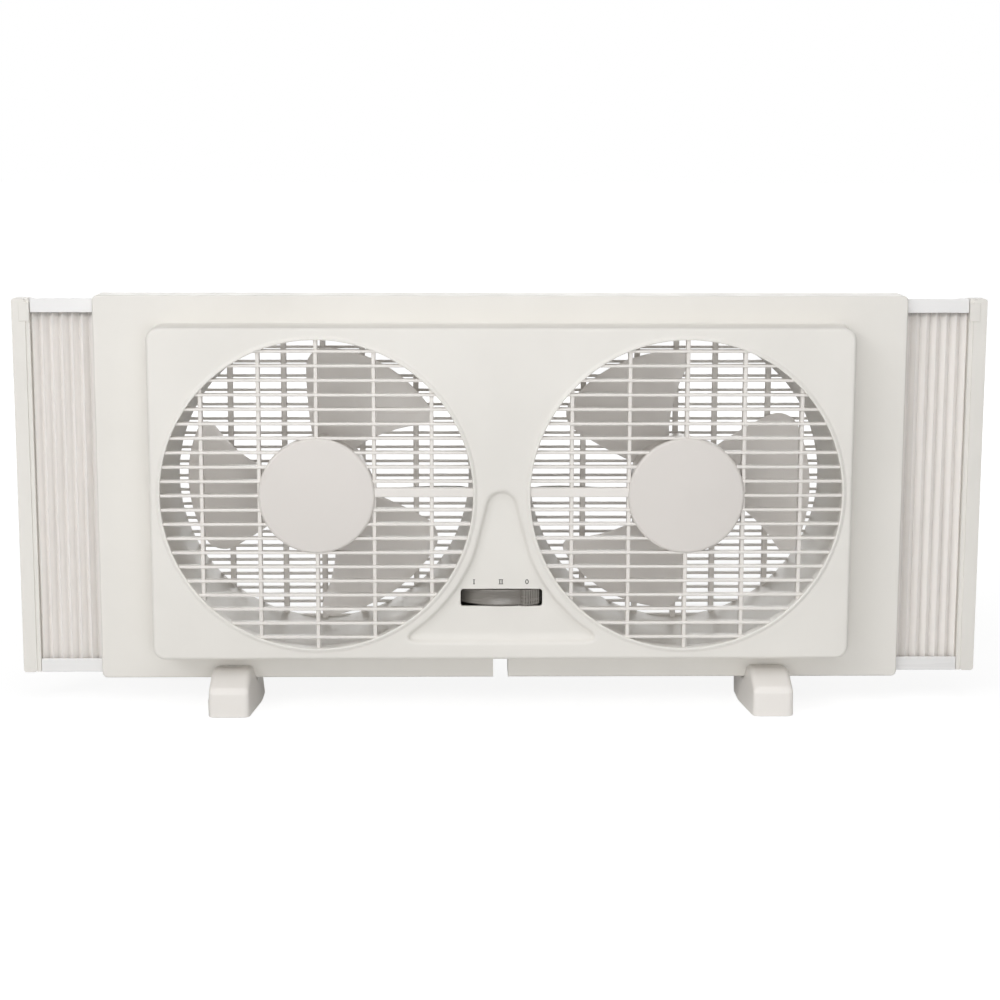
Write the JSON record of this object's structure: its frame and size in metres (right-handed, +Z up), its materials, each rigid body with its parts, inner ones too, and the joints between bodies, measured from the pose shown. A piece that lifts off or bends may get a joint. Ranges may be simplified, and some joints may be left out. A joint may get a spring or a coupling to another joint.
{
  "type": "twin window fan",
  "caption": "Twin window fan: flat flanged body, ducted rotors behind round grilles, central thumb dial, pull-out pleated side panels and clip-on feet.",
  "frame": {"origin": "on the ground under the middle of the overall box; the feet stand on Z = 0", "axes": "+X to the right along the fan seen from its front, +Y towards its rear, +Z up; the front faces -Y"},
  "size_m": [0.72, 0.118, 0.307],
  "materials": {
    "shell": "satin moulded plastic, warm white",
    "blade": "semi-gloss moulded plastic, light grey",
    "dial": "satin moulded plastic, warm grey",
    "track": "semi-gloss extruded plastic, white",
    "pleat": "thin folded plastic sheet, off-white",
    "switch": "black moulded plastic",
    "lead": "flexible insulated wire, off-white",
    "inlet": "black rubber bush",
    "steel": "zinc-plated pressed steel",
    "screw_steel": "zinc-plated screw",
    "lamination": "stacked electrical steel",
    "copper": "enamelled copper winding",
    "bronze": "sintered bronze"
  },
  "bodies": {
    "body": {"front_housing": "shell", "rear_housing": "shell", "housing_screw_1": "screw_steel", "housing_screw_2": "screw_steel", "housing_screw_3": "screw_steel", "housing_screw_4": "screw_steel", "housing_screw_5": "screw_steel", "housing_screw_6": "screw_steel", "switch_screw_1": "screw_steel", "switch_screw_2": "screw_steel", "cord_inlet": "inlet", "mains_lead": "lead", "switch_body": "switch", "anchor_strip_left": "shell", "foot_left": "shell", "motor_lead_left": "lead", "motor_front_bell_left": "steel", "motor_rear_bell_left": "steel", "motor_screw_left_1": "screw_steel", "motor_screw_left_2": "screw_steel", "stator_core_left": "lamination", "stator_coil_left": "copper", "front_bearing_left": "bronze", "rear_bearing_left": "bronze", "anchor_strip_right": "shell", "foot_right": "shell", "motor_lead_right": "lead", "motor_front_bell_right": "steel", "motor_rear_bell_right": "steel", "motor_screw_right_1": "screw_steel", "motor_screw_right_2": "screw_steel", "stator_core_right": "lamination", "stator_coil_right": "copper", "front_bearing_right": "bronze", "rear_bearing_right": "bronze"},
    "rotor_unit_left": {"motor_shaft_left": "steel", "rotor_nut_left": "steel", "armature_left": "lamination", "rotor_left": "blade"},
    "rotor_unit_right": {"motor_shaft_right": "steel", "rotor_nut_right": "steel", "armature_right": "lamination", "rotor_right": "blade"},
    "dial": {"speed_dial": "dial", "switch_spindle": "steel"},
    "panel_left": {"end_bar_left": "shell", "track_top_left": "track", "track_bottom_left": "track", "accordion_left": "pleat"},
    "panel_right": {"end_bar_right": "shell", "track_top_right": "track", "track_bottom_right": "track", "accordion_right": "pleat"}
  },
  "joints": [
    {"name": "rotor_spin_left", "type": "hinge", "parent": "body", "child": "rotor_unit_left", "pos_m": [-0.1353, 0, 0.163], "axis": [0, 1, 0], "continuous": true},
    {"name": "rotor_spin_right", "type": "hinge", "parent": "body", "child": "rotor_unit_right", "pos_m": [0.1353, 0, 0.163], "axis": [0, 1, 0], "continuous": true},
    {"name": "dial_turn", "type": "hinge", "parent": "body", "child": "dial", "pos_m": [0, -0.0015, 0.0862], "axis": [0, 0, 1], "range_deg": [-60, 0]},
    {"name": "panel_slide_left", "type": "slide", "parent": "body", "child": "panel_left", "axis": [-1, 0, 0], "range_m": [-0.046, 0.065], "deforming": ["accordion_left"]},
    {"name": "panel_slide_right", "type": "slide", "parent": "body", "child": "panel_right", "axis": [1, 0, 0], "range_m": [-0.046, 0.065], "deforming": ["accordion_right"]}
  ]
}
